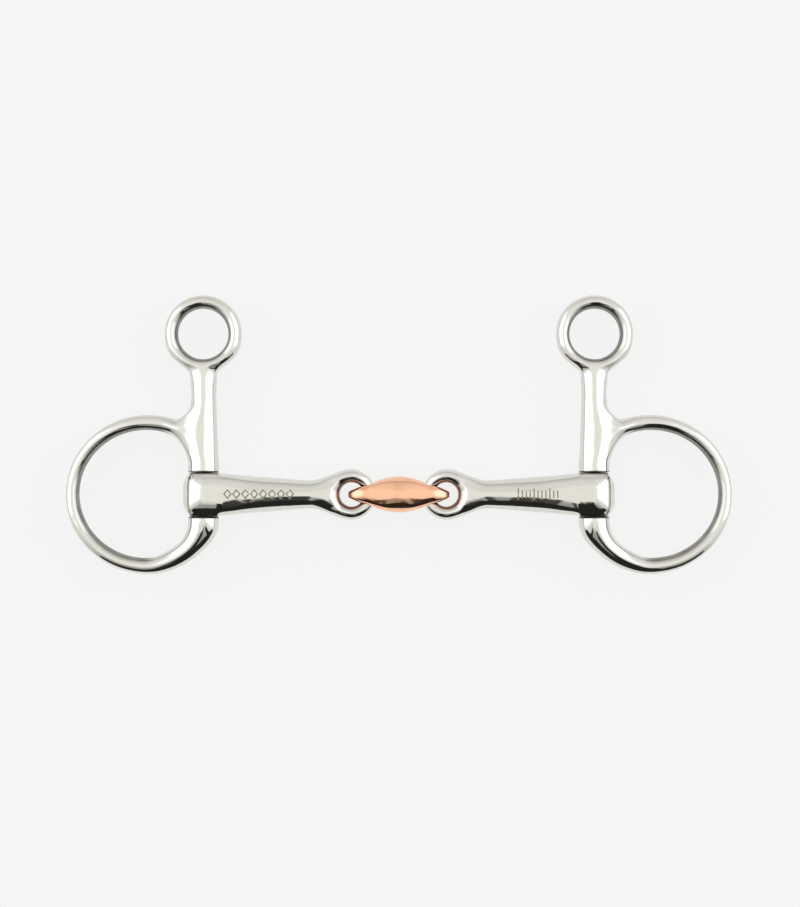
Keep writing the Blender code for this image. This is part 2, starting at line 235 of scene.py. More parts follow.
def side_strips(count, side, width):
    """The strips that a port at this side leaves out of a tube of count points."""
    return [(side + i) % count for i in range(-width, width)]


def both_sides():
    """The strips that ports at both sides of an arm or of the link leave out."""
    return side_strips(BAR_POINTS, 0, 2) + side_strips(BAR_POINTS, BAR_POINTS // 2, 2)


def fit_cage(targets, faces, fitted):
    """Moves the fitted points until the Catmull-Clark limit surface passes through their targets."""
    count = len(targets)
    neighbours = np.zeros((count, count))
    diagonals = np.zeros((count, count))
    for face in faces:
        for k in range(4):
            a, b, c = face[k], face[(k + 1) % 4], face[(k + 2) % 4]
            neighbours[a, b] = neighbours[b, a] = 1
            diagonals[a, c] += 1
    valence = neighbours.sum(axis=1)[:, None]
    weights = valence**2 * np.eye(count) + 4 * neighbours + diagonals
    weights /= valence * (valence + 5)
    cage = targets.copy()
    for _ in range(CAGE_ROUNDS):
        cage += (targets - weights @ cage) * fitted
    return cage


def point_faces_outwards(mesh):
    """Turns all the faces of a closed mesh outwards."""
    bm = bmesh.new()
    bm.from_mesh(mesh)
    bmesh.ops.recalc_face_normals(bm, faces=bm.faces)
    bm.to_mesh(mesh)
    bm.free()


def flat_section(a, b, half_height, across=ROUND, up=ROUND):
    """A section of a piece that lies in the XY plane, between edge points a and b.

    across and up place the corner points: both are ROUND on an ellipse, and nearer 1 on a squarer bar.
    """
    ax, ay = a
    bx, by = b
    cx, cy = (ax + bx) / 2, (ay + by) / 2
    hx, hy = (ax - bx) / 2 * across, (ay - by) / 2 * across
    corner = half_height * up
    return [
        (ax, ay, 0.0),
        (cx + hx, cy + hy, corner),
        (cx, cy, half_height),
        (cx - hx, cy - hy, corner),
        (bx, by, 0.0),
        (cx - hx, cy - hy, -corner),
        (cx, cy, -half_height),
        (cx + hx, cy + hy, -corner),
    ]


def bar_section(x, half_width, half_height, power):
    """A section across a bar that runs along X: an ellipse at power 2, and squarer above it."""
    points = []
    for i in range(BAR_POINTS):
        turn = 2 * math.pi * i / BAR_POINTS
        y, z = (math.copysign(abs(v) ** (2 / power), v) for v in (math.cos(turn), math.sin(turn)))
        points.append((x, half_width * y, half_height * z))
    return points


def port_section(a, b, half_height, root_height):
    """A section with a branch growing out of its side a, where the branch's crown is root_height up."""
    points = flat_section(a, b, half_height)
    for i, side in ((1, 1), (7, -1)):
        x, y, _ = points[i]
        points[i] = (x, y, side * root_height)
    return points


def blend(start, end, share):
    """start at share 0 and end at share 1."""
    return start + (end - start) * share


def ellipse_point(centre_x, centre_y, half_x, half_y, degrees):
    """The point of an ellipse at an angle of its parameter, which starts at +X."""
    angle = math.radians(degrees)
    return centre_x + half_x * math.cos(angle), centre_y + half_y * math.sin(angle)


def control_growth(corners):
    """How much larger a ring of control points is than the smooth curve that it makes."""
    return 3 / (2 + math.cos(2 * math.pi / corners))


def bridle_eye(cage):
    """The small round eye, with its port at the bottom. Returns the loop where the shank joins it."""
    port_angle = 24.0
    flare = 0.4  # how much the outer radius grows towards the shank
    thinnest, thickest = 3.3, 3.9  # half heights away from the shank and beside it
    shank_crown = 3.95  # half the shank's height where it grows out of the eye
    spans = 11
    step = (360 - 2 * port_angle) / spans
    angles = [-90 + port_angle, -90]
    angles += [-90 - port_angle - step * i for i in range(spans)]
    sections = []
    for angle in angles:
        to_shank = max(0.0, math.cos(math.radians(angle + 90)))
        radius = EYE_RADIUS + flare * to_shank**2
        outer = ellipse_point(0, EYE_Y, radius, radius, angle)
        inner = ellipse_point(0, EYE_Y, EYE_HOLE_RADIUS, EYE_HOLE_RADIUS, angle)
        half_height = blend(thinnest, thickest, to_shank**4)
        points = flat_section(outer, inner, half_height)
        if angle == -90:
            points = port_section((0, EYE_Y - EYE_RADIUS), inner, half_height, shank_crown)
        sections.append(cage.section(points, wall=INNER_WALL))
    return cage.eye(sections)


def pin_socket(cage, last_section, side, hole_end):
    """Ends the shank or the boss in a flat face beside the barrel, with the pin's blind hole in it."""
    face_y = side * (BARREL_HALF_HEIGHT + SEEN_GAP)
    growth = control_growth(8)
    middle = (SHANK_OUTBOARD - SHANK_INBOARD) / 2
    half_width = (SHANK_OUTBOARD + SHANK_INBOARD) / 2 * growth * side
    half_height = CHEEK_END_HALF_HEIGHT * growth
    # every_point gives painted shade to the face in the gap beside the barrel and to the pin's hole
    every_point = [(i, 1.0) for i in range(8)]
    numbers = [last_section]
    for back, inset in ((EDGE * 2, 0.0), (EDGE, EDGE * 0.2), (0.0, EDGE), (0.0, EDGE * 4)):
        y = face_y + side * back
        a, b = (middle + half_width - side * inset, y), (middle - half_width + side * inset, y)
        wall = every_point if back < EDGE * 2 else ()
        numbers.append(cage.section(flat_section(a, b, half_height - inset), free=True, wall=wall))
    hole = HOLE_RADIUS * growth
    for y, radius in (
        (face_y, hole + EDGE),
        (face_y, hole),
        (face_y + side * EDGE, hole),
        (hole_end - side * EDGE, hole),
        (hole_end, hole),
        (hole_end, hole - EDGE),
    ):
        loop = flat_section((radius * side, y), (-radius * side, y), radius)
        numbers.append(cage.section(loop, free=True, wall=every_point))
    cage.tube(numbers)
    cage.cap(numbers[-1], (0.0, hole_end, 0.0))


def shank(cage, port):
    """The bar from the bridle eye's port down to the barrel. Returns the loop where the ring joins it."""
    # y, outboard edge, inboard edge, half height in Z
    upper = [
        (45.3, 5.1, -5.35, 4.1),
        (41.0, 4.7, -5.1, 4.2),
        (37.0, 4.7, -5.1, 4.3),
    ]
    lower = [
        (12.7, SHANK_OUTBOARD, -SHANK_INBOARD, 5.3),
        (10.4, SHANK_OUTBOARD, -SHANK_INBOARD, CHEEK_END_HALF_HEIGHT),
    ]
    ring_crown = 4.35  # half the ring's height where it grows out of the shank
    sections = [cage.section(flat_section((a, y), (b, y), h)) for y, a, b, h in upper]
    top_crotch = cage.section(flat_section((5.75, 32.7), (-5.2, 32.4), 4.5))
    middle = cage.section(port_section((7.4, 24.6), (-5.5, 24.6), 4.8, ring_crown))
    low_crotch = cage.section(flat_section((7.1, 16.4), (-5.8, 16.4), 5.1))
    end = [cage.section(flat_section((a, y), (b, y), h)) for y, a, b, h in lower]
    cage.tube([port] + sections + [top_crotch])
    port_strips = side_strips(8, 0, 1)
    cage.bridge(top_crotch, middle, skip=port_strips)
    cage.bridge(middle, low_crotch, skip=port_strips)
    cage.tube([low_crotch] + end)
    pin_socket(cage, end[-1], 1, HOLE_TOP)
    return cage.port([top_crotch, middle, low_crotch])


def rein_ring(cage, port):
    """The large ring, from its root on the shank round to the boss under the barrel."""
    root = cage.section(flat_section((9.6, 29.5), (10.3, 21.5), 4.1))
    first_angle, last_angle, spans = 102, -90, 12
    bar_half_height, bar_squareness = 3.4, 0.76
    bar = []
    for i in range(spans + 1):
        angle = blend(first_angle, last_angle, i / spans)
        outer = ellipse_point(RING_X, 0, RING_HALF_X, RING_HALF_Y, angle)
        inner = ellipse_point(OPENING_X, OPENING_Y, OPENING_HALF_X, OPENING_HALF_Y, angle)
        points = flat_section(outer, inner, bar_half_height, up=bar_squareness)
        bar.append(cage.section(points, wall=INNER_WALL))
    # outer edge, inner edge, half height in Z
    boss = [
        ((14.0, -29.9), (17.1, -23.5), 3.6),
        ((7.0, -27.0), (12.6, -21.1), 3.9),
        ((1.4, -23.0), (9.0, -18.3), 4.3),
        ((-3.0, -18.6), (7.0, -15.4), 4.8),
        ((-5.5, -14.2), (6.1, -12.6), 5.2),
        ((-SHANK_INBOARD, -10.6), (SHANK_OUTBOARD, -10.4), CHEEK_END_HALF_HEIGHT),
    ]
    lower = [cage.section(flat_section(*line)) for line in boss]
    cage.tube([port, root] + bar + lower)
    pin_socket(cage, lower[-1], -1, HOLE_BOTTOM)


def cheek_cage():
    """One cheek casting: the bridle eye, the shank, the rein ring and the boss."""
    cage = Cage()
    root = shank(cage, bridle_eye(cage))
    rein_ring(cage, root)
    return cage


def arm_cage():
    """One arm of the mouthpiece, with x towards the middle of the bit."""
    cage = Cage()
    last_of_barrel = barrel(cage)
    # x, half width in Y, half height in Z, squareness
    outline = [
        (11.0, 7.95, 7.5, 2.8),
        (15.0, 7.5, 7.15, 2.5),
        (21.0, 7.0, 6.8, 2.15),
        (28.0, 6.45, 6.3, 2.0),
        (35.0, 5.9, 5.7, 2.0),
        (40.4, 5.5, 5.2, 2.0),
        (44.6, 5.95, 4.95, 2.1),
    ]
    sections = [cage.section(bar_section(*line)) for line in outline]
    cage.tube([last_of_barrel] + sections)
    cage.bridge(sections[-1], arm_eye(cage))
    return cage


def barrel(cage):
    """The barrel round the hinge pin, flat at both ends and bored through. Returns its last section."""
    # x, how much further the middle of the sides stands, how much lower than the flat ends
    stations = [
        (-5.2, -0.5, 0.5),
        (-3.0, 0.0, 0.0),
        (0.0, 0.0, 0.0),
        (3.4, 0.0, 0.0),
        (7.0, 0.3, 0.15),
    ]
    sections = []
    for x, side_reach, lowering in stations:
        half_height = math.sqrt(BARREL_RADIUS**2 - min(x, 0.0) ** 2)
        half_width = BARREL_HALF_HEIGHT - lowering
        points = []
        for px, y, z in bar_section(x, half_width, half_height, BARREL_SQUARENESS):
            flatness = max(0.0, 1 - abs(z) / half_height) ** 2
            points.append((px + side_reach * flatness, y, z))
        sections.append(cage.section(points))
    strips = both_sides()
    for first, second in zip(sections, sections[1:]):
        cage.bridge(first, second, skip=strips)
    cage.grid_cap(sections[0], barrel_end)
    top = barrel_face(cage, cage.port(sections, 0, 2), 1)
    bottom = barrel_face(cage, cage.port(sections, BAR_POINTS // 2, 2), -1)
    # both loops start outboard, but one goes over the top and the other underneath
    cage.bridge(top, [bottom[-i] for i in range(len(bottom))])
    return sections[-1]


def barrel_end(y, z):
    """A point of the barrel's outboard side, which bulges a little at its middle."""
    bulge, corner_rounding = 0.45, 1.0
    out = y / BARREL_HALF_HEIGHT
    rounding = bulge * out**2 + corner_rounding * out**6
    return -math.sqrt(BARREL_RADIUS**2 - z**2) + rounding, y, z


def barrel_face(cage, rim, sign):
    """A flat end face with the bore's mouth in it. Returns the loop a little way down the bore."""
    face_y = sign * BARREL_HALF_HEIGHT
    growth = control_growth(len(rim))
    hole = HOLE_RADIUS * growth
    outline = [(cage.points[i][0], cage.points[i][2]) for i in rim]
    rings = []
    for inset in (0.6, 1.0, 2.2):
        rings.append([moved_in(x, z, inset) for x, z in outline])
    turns = [math.pi - sign * 2 * math.pi * i / len(rim) for i in range(len(rim))]
    for radius in (hole + EDGE, hole, hole):
        rings.append([(radius * math.cos(turn), radius * math.sin(turn)) for turn in turns])
    depths = [0.0] * (len(rings) - 1) + [EDGE]
    rounding = 0.6  # how far the first ring has come from the rim to the face
    numbers = []
    for k, (ring, depth) in enumerate(zip(rings, depths)):
        points = [(x, face_y - sign * depth, z) for x, z in ring]
        if k == 0:
            points = [(x, blend(cage.points[i][1], face_y, rounding), z) for i, (x, z) in zip(rim, ring)]
        # painted shade on the end face in the narrow gap and down the bore: half on the first ring, full
        # beyond
        wall = [(i, min(1.0, 0.5 + k * 0.5)) for i in range(len(ring))]
        numbers.append(cage.section(points, free=True, wall=wall))
    cage.tube([rim] + numbers)
    return numbers[-1]


def moved_in(x, z, inset):
    """A point of the XZ plane moved towards the pin's axis."""
    share = 1 - inset / math.hypot(x, z)
    return x * share, z * share


def arm_eye(cage):
    """The eye at the arm's inner end. Returns the loop where the neck joins it."""
    port_angle = 133.5
    port_spans = 6
    spans = 12
    thinnest, thickest = 2.6, 4.4  # half heights at the rim in the link's hole and at the neck
    crotch = (50.1, 7.9)  # where the neck's side meets the eye
    angles = [blend(port_angle, 360 - port_angle, i / port_spans) for i in range(port_spans)]
    angles += [blend(-port_angle, port_angle, i / spans) for i in range(spans)]
    sections = []
    for angle in angles:
        to_neck = (180 - abs((angle + 180) % 360 - 180)) / (180 - port_angle)
        inner = ellipse_point(ARM_HOLE_CENTRE, 0, ARM_HOLE_RADIUS, ARM_HOLE_RADIUS, angle)
        outer = ellipse_point(ARM_EYE_CENTRE, 0, ARM_EYE_RADIUS, ARM_EYE_RADIUS, angle)
        half_height = blend(thinnest, thickest, (1 - math.cos(math.radians(angle))) / 2)
        side = math.sin(math.radians(angle))
        if abs(to_neck - 1) < 0.001:
            outer = (crotch[0], math.copysign(crotch[1], side))
        points = flat_section(outer, inner, half_height)
        if to_neck < 0.999:
            points = neck_root(points, to_neck, side)
        sections.append(cage.section(points, wall=INNER_WALL))
    return cage.eye(sections, port_spans + 1)


def neck_root(points, to_edge, side):
    """Moves a section's two port points onto the outline of the neck that grows out of the eye."""
    half_width, half_height = 9.16, 4.75
    last_turn = 37.8
    crown_x, edge_x = 48.9, 50.7
    turn = math.radians(blend(90.0, last_turn, to_edge))
    x = blend(crown_x, edge_x, to_edge**2)
    y = math.copysign(half_width * math.cos(turn), side)
    z = half_height * math.sin(turn)
    moved = list(points)
    moved[1] = (x, y, z)
    moved[7] = (x, y, -z)
    return moved


def link_half_height(x):
    """Half the link's height in Y: it swells from its ends to its middle."""
    roundness, tip_narrowing = 1.7, 0.8
    swell = math.cos(math.pi / 2 * min(1.0, abs(x) / LINK_HALF_LENGTH))
    near_tip = max(0.0, abs(x) - LINK_TAPER_X) / (LINK_HALF_LENGTH - LINK_TAPER_X)
    height = LINK_END_HALF_HEIGHT + (LINK_HALF_HEIGHT - LINK_END_HALF_HEIGHT) * swell**roundness
    return height * math.sqrt(1 - tip_narrowing * near_tip**2)


def link_half_depth(x):
    """Half the link's depth in Z: nearly straight along the body, and rounded off at the eyes."""
    past_hole = max(0.0, abs(x) - LINK_HOLE_X) / (LINK_HALF_LENGTH - LINK_HOLE_X)
    narrowing = min(1.0, abs(x) / LINK_HOLE_X) ** 2
    depth = blend(LINK_BODY_HALF_DEPTH, LINK_EYE_HALF_DEPTH, narrowing)
    return depth * math.sqrt(1 - past_hole**2)


def link_squareness(x):
    """The link is round in its middle and squarish beside its holes."""
    roundest, squarest, squarest_x = 2.1, 3.0, 9.0
    to_hole = min(1.0, abs(x) / squarest_x)
    return blend(roundest, squarest, to_hole**2 * (3 - 2 * to_hole))


def link_section(x):
    """A section across the link."""
    return bar_section(x, link_half_height(x), link_half_depth(x), link_squareness(x))


def link_surface(x, z):
    """The height in Y of the link's side over a point of its plan."""
    power = link_squareness(x)
    out = min(0.98, abs(z) / link_half_depth(x))
    return link_half_height(x) * (1 - out**power) ** (1 / power)


def link_cage():
    """The copper link: a lozenge swelling towards its middle, with a hole along Y near each end."""
    body_stations = (-4.2, 0.0, 4.2)
    hole_stations = (7.4, 9.7, LINK_HOLE_X, 14.3, 16.4)
    cage = Cage()
    body = [cage.section(link_section(x)) for x in body_stations]
    cage.tube(body)
    for side, middle in ((-1, body[0]), (1, body[-1])):
        at_hole = [cage.section(link_section(side * x)) for x in hole_stations]
        tip = cage.section(link_section(side * LINK_TIP_X))
        cage.bridge(middle, at_hole[0])
        strips = both_sides()
        for first, second in zip(at_hole, at_hole[1:]):
            cage.bridge(first, second, skip=strips)
        cage.bridge(at_hole[-1], tip)
        cage.grid_cap(tip, lambda y, z: link_tip(y, z, side))
        top = link_hole(cage, cage.port(at_hole, 0, 2), side, 1)
        bottom = link_hole(cage, cage.port(at_hole, BAR_POINTS // 2, 2), side, -1)
        cage.bridge(top, [bottom[-i] for i in range(len(bottom))])
    return cage


def link_tip(y, z, side):
    """A point of the link's rounded end."""
    depth = min(0.999, abs(z) / link_half_depth(LINK_TIP_X)) ** 2
    height = min(0.999, abs(y) / link_half_height(LINK_TIP_X)) ** 2
    reach = LINK_HALF_LENGTH - LINK_TIP_X
    return side * (LINK_TIP_X + reach * math.sqrt(1 - 0.5 * depth - 0.5 * height)), y, z


def link_hole(cage, rim, side, sign):
    """The rounded mouth of a hole, down to where it runs straight. Returns the loop there."""
    radius = LINK_HOLE_RADIUS * control_growth(len(rim))
    numbers = []
    # how far each ring has come from the rim to the hole, how deep it lies, how much painted shade it gets as
    # a wall
    for share, depth, dark in ((0.5, 0.0, 0.0), (0.85, 0.1, 0.3), (1.0, 0.7, 0.7), (1.0, 1.5, 1.0)):
        loop = []
        for i, number in enumerate(rim):
            x, _, z = cage.points[number]
            turn = math.pi - sign * 2 * math.pi * i / len(rim)
            x = blend(x, side * (LINK_HOLE_X + radius * math.cos(turn)), share)
            z = blend(z, radius * math.sin(turn), share)
            loop.append((x, sign * (link_surface(x, z) - depth), z))
        wall = [(i, dark) for i in range(len(rim))]
        numbers.append(cage.section(loop, free=depth > 0, wall=wall))
    cage.tube([rim] + numbers)
    return numbers[-1]


class Nodes:
    """Short calls for building a node tree. Values may be numbers, colours or other nodes' outputs."""

    def __init__(self, tree):
        self.tree = tree
        tree.nodes.clear()

    def add(self, kind, inputs=(), **settings):
        node = self.tree.nodes.new(kind)
        for key, value in settings.items():
            setattr(node, key, value)
        for key, value in dict(inputs).items():
            self.feed(node.inputs[key], value)
        return node

    def feed(self, socket, value):
        if isinstance(value, bpy.types.NodeSocket):
            self.tree.links.new(value, socket)
        else:
            socket.default_value = value

    def math(self, operation, *values, clamp=False):
        node = self.add("ShaderNodeMath", enumerate(values), operation=operation, use_clamp=clamp)
        return node.outputs[0]

    def smooth_step(self, value, start, end):
        """0 before start and 1 after end, with a smooth rise between."""
        inputs = {0: value, 1: start, 2: end, 3: 0.0, 4: 1.0}
        return self.add("ShaderNodeMapRange", inputs, interpolation_type="SMOOTHSTEP").outputs[0]

    def mix(self, share, first, second):
        node = self.add("ShaderNodeMix", data_type="RGBA", blend_type="MIX")
        for socket, value in ((node.inputs[0], share), (node.inputs[6], first), (node.inputs[7], second)):
            self.feed(socket, value)
        return node.outputs[2]

    def noise(self, place, scale, detail=2.0):
        """Noise of about one blotch per 1/scale metres, mostly between 0.3 and 0.7."""
        inputs = {"Vector": place, "Scale": scale, "Detail": detail}
        return self.add("ShaderNodeTexNoise", inputs).outputs[0]

    def stretch(self, place, factors):
        """A place with its axes scaled, which draws a noise out along the axes with small factors."""
        return self.add("ShaderNodeVectorMath", {0: place, 1: factors}, operation="MULTIPLY").outputs[0]

    def wall(self):
        """How much of an inner wall a place is, which Cage.mesh stores, and so how much painted shade it
        gets.
        """
        return self.add("ShaderNodeAttribute", attribute_name="wall").outputs["Fac"]

    def ramp(self, value, stops):
        """A smooth colour ramp over (place, colour) stops."""
        node = self.add("ShaderNodeValToRGB", {0: value})
        ramp = node.color_ramp
        ramp.interpolation = "EASE"
        while len(ramp.elements) < len(stops):
            ramp.elements.new(1.0)
        for element, (place, colour) in zip(ramp.elements, stops):
            element.position = place
            element.color = (*colour, 1.0)
        return node.outputs[0]


def put_in_place(mesh, x, mirror):
    """Moves a mesh from its own frame to its place in the CAD frame, mirrored if mirror is set."""
    if mirror:
        mesh.transform(Matrix.Diagonal((-1, 1, 1, 1)))
        mesh.flip_normals()
    mesh.transform(Matrix.Translation((x * MM, MOUTH_Y * MM, MOUTH_Z * MM)))


def smooth_piece(name, cage, x, mirror, material, body, node):
    """Makes a visual piece that rides on a body and stands in for one of the CAD's nodes."""
    mesh = cage.mesh(name)
    put_in_place(mesh, x, mirror)
    mesh.shade_smooth()
    mesh.materials.append(material)
    piece = bpy.data.objects.new(name, mesh)
    bpy.context.scene.collection.objects.link(piece)
    subdivision = piece.modifiers.new("smooth", "SUBSURF")
    subdivision.levels = SMOOTH_LEVELS
    subdivision.render_levels = SMOOTH_LEVELS
    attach(piece, body)
    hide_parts(node)
    return piece


def new_material(name):
    """An empty node material, as (material, nodes)."""
    material = bpy.data.materials.new(name)
    material.use_nodes = True
    return material, Nodes(material.node_tree)


def finish_metal(nodes, colour, roughness, bumps):
    """Wires a metal shader. bumps are (height, depth in metres) pairs, laid over each other."""
    normal = None
    for height, depth in bumps:
        inputs = {"Height": height, "Distance": depth, "Strength": 1.0}
        if normal is not None:
            inputs["Normal"] = normal
        normal = nodes.add("ShaderNodeBump", inputs).outputs[0]
    inputs = {"Base Color": colour, "Metallic": 1.0, "Roughness": roughness, "Normal": normal}
    shader = nodes.add("ShaderNodeBsdfPrincipled", inputs).outputs[0]
    nodes.add("ShaderNodeOutputMaterial", {"Surface": shader})


def polish_marks(nodes, place, along):
    """What years of polishing leave: soft waves, smudges, hairline scratches and a few pits, from 0 to 1.

    The scratches are long along the axes whose factors in along are small.
    """
    waves = nodes.noise(place, 110.0, detail=1.0)
    smudges = nodes.noise(place, 260.0, detail=4.0)
    hairs = nodes.smooth_step(nodes.noise(nodes.stretch(place, along), 900.0, detail=3.0), 0.60, 0.72)
    pits = nodes.smooth_step(nodes.noise(place, 1700.0, detail=1.0), 0.775, 0.83)
    return waves, smudges, hairs, pits


def polished_steel(name, along, wall_soot_and_shade, etching=None):
    """Mirror-polished steel, its inner walls dull and darkened by painted shade and some soot. etching gives
    a mask and a colour.
    """
    material, nodes = new_material(name)
    place = nodes.add("ShaderNodeTexCoord").outputs["Object"]
    waves, smudges, hairs, pits = polish_marks(nodes, place, along)
    wall = nodes.smooth_step(nodes.wall(), 0.15, 0.95)
    smudged, clean = (0.70, 0.70, 0.675, 1), (0.76, 0.76, 0.745, 1)
    scratched, pitted = (0.55, 0.55, 0.53, 1), (0.38, 0.37, 0.35, 1)
    colour = nodes.mix(smudges, smudged, clean)
    colour = nodes.mix(nodes.math("MULTIPLY", hairs, 0.25), colour, scratched)
    colour = nodes.mix(pits, colour, pitted)
    # painted shade with some soot: the inner walls and the gaps are darkened, unevenly with the smudges
    soot_and_shade_share = nodes.math("MULTIPLY", wall, nodes.math("MULTIPLY_ADD", smudges, 0.5, 0.55), clamp=True)
    colour = nodes.mix(soot_and_shade_share, colour, (*wall_soot_and_shade, 1))
    roughness = nodes.math("MULTIPLY_ADD", smudges, 0.07, 0.035)
    roughness = nodes.math("MULTIPLY_ADD", hairs, 0.05, roughness)
    roughness = nodes.math("MULTIPLY_ADD", wall, 0.20, roughness)
    bumps = [(waves, 0.00018), (hairs, -0.000003), (pits, -0.00002)]
    if etching:
        mask, ink = etching(nodes, place)
        colour = nodes.mix(nodes.math("MULTIPLY", mask, 0.95), colour, ink)
        roughness = nodes.math("MULTIPLY_ADD", mask, 0.30, roughness)
        bumps.append((mask, -0.00006))
    finish_metal(nodes, colour, roughness, bumps)
    return material


def stripes(nodes, value, pitch, width):
    """1 on lines of the given width, one to each pitch, and 0 between them."""
    soft = 0.00005
    phase = nodes.math("PINGPONG", value, pitch / 2)
    return nodes.smooth_step(phase, width / 2 + soft, width / 2 - soft)


def within(nodes, value, low, high):
    """1 between low and high, with soft ends."""
    soft = 0.00006
    above = nodes.smooth_step(value, low - soft, low + soft)
    return nodes.math("MULTIPLY", above, nodes.smooth_step(value, high + soft, high - soft))


def etched_rows(nodes, place):
    """Plain ornament in the upper faces of the arms: a row of lozenges on the left, ticks on the right.

    Returns the etched places and their dull colour.
    """
    olive = (0.20, 0.17, 0.07, 1)
    x, y, z = nodes.add("ShaderNodeSeparateXYZ", {0: place}).outputs
    height = nodes.math("ABSOLUTE", nodes.math("SUBTRACT", y, (MOUTH_Y + 0.3) * MM))
    upper = nodes.smooth_step(z, MOUTH_Z * MM, (MOUTH_Z + 1) * MM)
    row = lozenge_row(nodes, nodes.math("ADD", x, PIN_X * MM), height)
    ticks = tick_scale(nodes, nodes.math("SUBTRACT", PIN_X * MM, x), height)
    worn = nodes.smooth_step(nodes.noise(place, 900.0, detail=3.0), 0.30, 0.42)
    mask = nodes.math("MULTIPLY", nodes.math("MAXIMUM", row, ticks), nodes.math("MULTIPLY", upper, worn))
    return mask, olive


def lozenge_row(nodes, from_pin, height):
    """Eight lozenges drawn in outline. height is the distance from the row's middle line."""
    pitch = 3.4 * MM
    first, last = pitch * 2.5, pitch * 10.5
    inner_edge, outer_edge = 1.10 * MM, 1.62 * MM
    steepness = 0.85
    to_corner = nodes.math("PINGPONG", from_pin, pitch / 2)
    slope = nodes.math("MULTIPLY_ADD", height, steepness, to_corner)
    outline = within(nodes, slope, inner_edge, outer_edge)
    return nodes.math("MULTIPLY", outline, within(nodes, from_pin, first, last))


def tick_scale(nodes, from_pin, height):
    """A row of short ticks, of which every fourth is longer."""
    pitch, width = 1.5 * MM, 0.50 * MM
    half_length, more_if_long = 1.4 * MM, 0.7 * MM
    first, last = 14.2 * MM, 30.7 * MM
    soft = 0.05 * MM
    ticks = stripes(nodes, from_pin, pitch, width)
    long_tick = stripes(nodes, from_pin, pitch * 4, width * 2)
    reach = nodes.math("MULTIPLY_ADD", long_tick, more_if_long, half_length)
    inside = nodes.smooth_step(nodes.math("SUBTRACT", height, reach), soft, -soft)
    ticks = nodes.math("MULTIPLY", ticks, inside)
    return nodes.math("MULTIPLY", ticks, within(nodes, from_pin, first, last))


def polished_copper():
    """Copper with a thin oxide that browns it in patches, and painted shade in its holes."""
    material, nodes = new_material("polished_copper")
    place = nodes.add("ShaderNodeTexCoord").outputs["Object"]
    waves, smudges, hairs, pits = polish_marks(nodes, place, (0.25, 1.0, 1.0))
    wall = nodes.wall()
    bright, browned = (0.98, 0.58, 0.40, 1), (0.88, 0.46, 0.29, 1)
    scratched, pitted = (1.0, 0.70, 0.52, 1), (0.16, 0.05, 0.03, 1)
    painted_hole_shade = (0.30, 0.10, 0.05, 1)
    oxide = nodes.smooth_step(nodes.noise(place, 170.0, detail=5.0), 0.45, 0.75)
    colour = nodes.mix(oxide, bright, browned)
    colour = nodes.mix(nodes.math("MULTIPLY", hairs, 0.35), colour, scratched)
    colour = nodes.mix(pits, colour, pitted)
    # painted shade in the holes
    colour = nodes.mix(nodes.math("MULTIPLY", wall, 0.7), colour, painted_hole_shade)
    roughness = nodes.math("MULTIPLY_ADD", smudges, 0.10, 0.05)
    roughness = nodes.math("MULTIPLY_ADD", oxide, 0.08, roughness)
    roughness = nodes.math("MULTIPLY_ADD", wall, 0.15, roughness)
    finish_metal(nodes, colour, roughness, [(waves, 0.00016), (hairs, -0.000004), (pits, -0.00005)])
    return material


def ground_steel():
    """The pins' steel, ground round its length, with dark grease in the grooves."""
    material, nodes = new_material("ground_steel")
    place = nodes.add("ShaderNodeTexCoord").outputs["Object"]
    low, high, greasy = (0.34, 0.34, 0.33, 1), (0.48, 0.48, 0.46, 1), (0.10, 0.09, 0.08, 1)
    grooves = nodes.noise(nodes.stretch(place, (0.05, 1, 0.05)), 4000.0, detail=3.0)
    grease = nodes.smooth_step(nodes.noise(place, 500.0, detail=4.0), 0.35, 0.65)
    colour = nodes.mix(grooves, low, high)
    colour = nodes.mix(grease, colour, greasy)
    roughness = nodes.math("MULTIPLY_ADD", grooves, 0.20, 0.25)
    finish_metal(nodes, colour, roughness, [(grooves, -0.00001)])
    return material


def build_bit():
    """Makes the five smooth pieces, and gives the CAD's two hinge pins a better material."""
    along_x, along_y = (0.25, 1.0, 1.0), (1.0, 0.3, 1.0)
    # colours of the painted shade, with some soot, on the inner walls and in the gaps
    plain_soot_and_shade, coppery_soot_and_shade = (0.10, 0.095, 0.085), (0.10, 0.065, 0.05)
    cheek_steel = polished_steel("polished_cheek_steel", along_y, plain_soot_and_shade)
    arm_steel = polished_steel("polished_arm_steel", along_x, coppery_soot_and_shade, etched_rows)
    copper = polished_copper()
    pin_steel = ground_steel()
    smooth_piece("copper_lozenge", link_cage(), 0.0, False, copper, "link", "lozenge_link")
    for side, name in ((-1, "left"), (1, "right")):
        x = side * PIN_X
        left = side < 0
        cheek, arm = f"{name}_cheek", f"{name}_arm"  # the names of both the bodies and the nodes
        smooth_piece(f"{cheek}_casting", cheek_cage(), x, left, cheek_steel, cheek, cheek)
        smooth_piece(f"{name}_mouth_arm", arm_cage(), x, not left, arm_steel, arm, arm)
        for material_slot in bpy.data.objects[f"{name}_hinge_pin"].material_slots:
            material_slot.link = "OBJECT"
            material_slot.material = pin_steel


def add_camera():
    """Straight above the bit, a little in front of its middle."""
    height = 600.0
    seen_height = 351.96  # of the frame, at the level of the mouthpiece's axis
    sideways, towards_eyes = 0.43, 15.9  # from the middle of the mouthpiece
    camera = bpy.data.objects.new("camera", bpy.data.cameras.new("camera"))
    bpy.context.scene.collection.objects.link(camera)
    camera.location = Vector((sideways, MOUTH_Y + towards_eyes, MOUTH_Z + height)) * MM
    camera.data.sensor_width = 36.0
    camera.data.lens = camera.data.sensor_width * height / seen_height
    bpy.context.scene.camera = camera


def grey(value, warmth=0.0):
    """A grey with a touch of olive, as the inside of a light tent shows in steel."""
    return value, value * (1 - warmth * 0.2), value * (1 - warmth)


PALE = 0.92
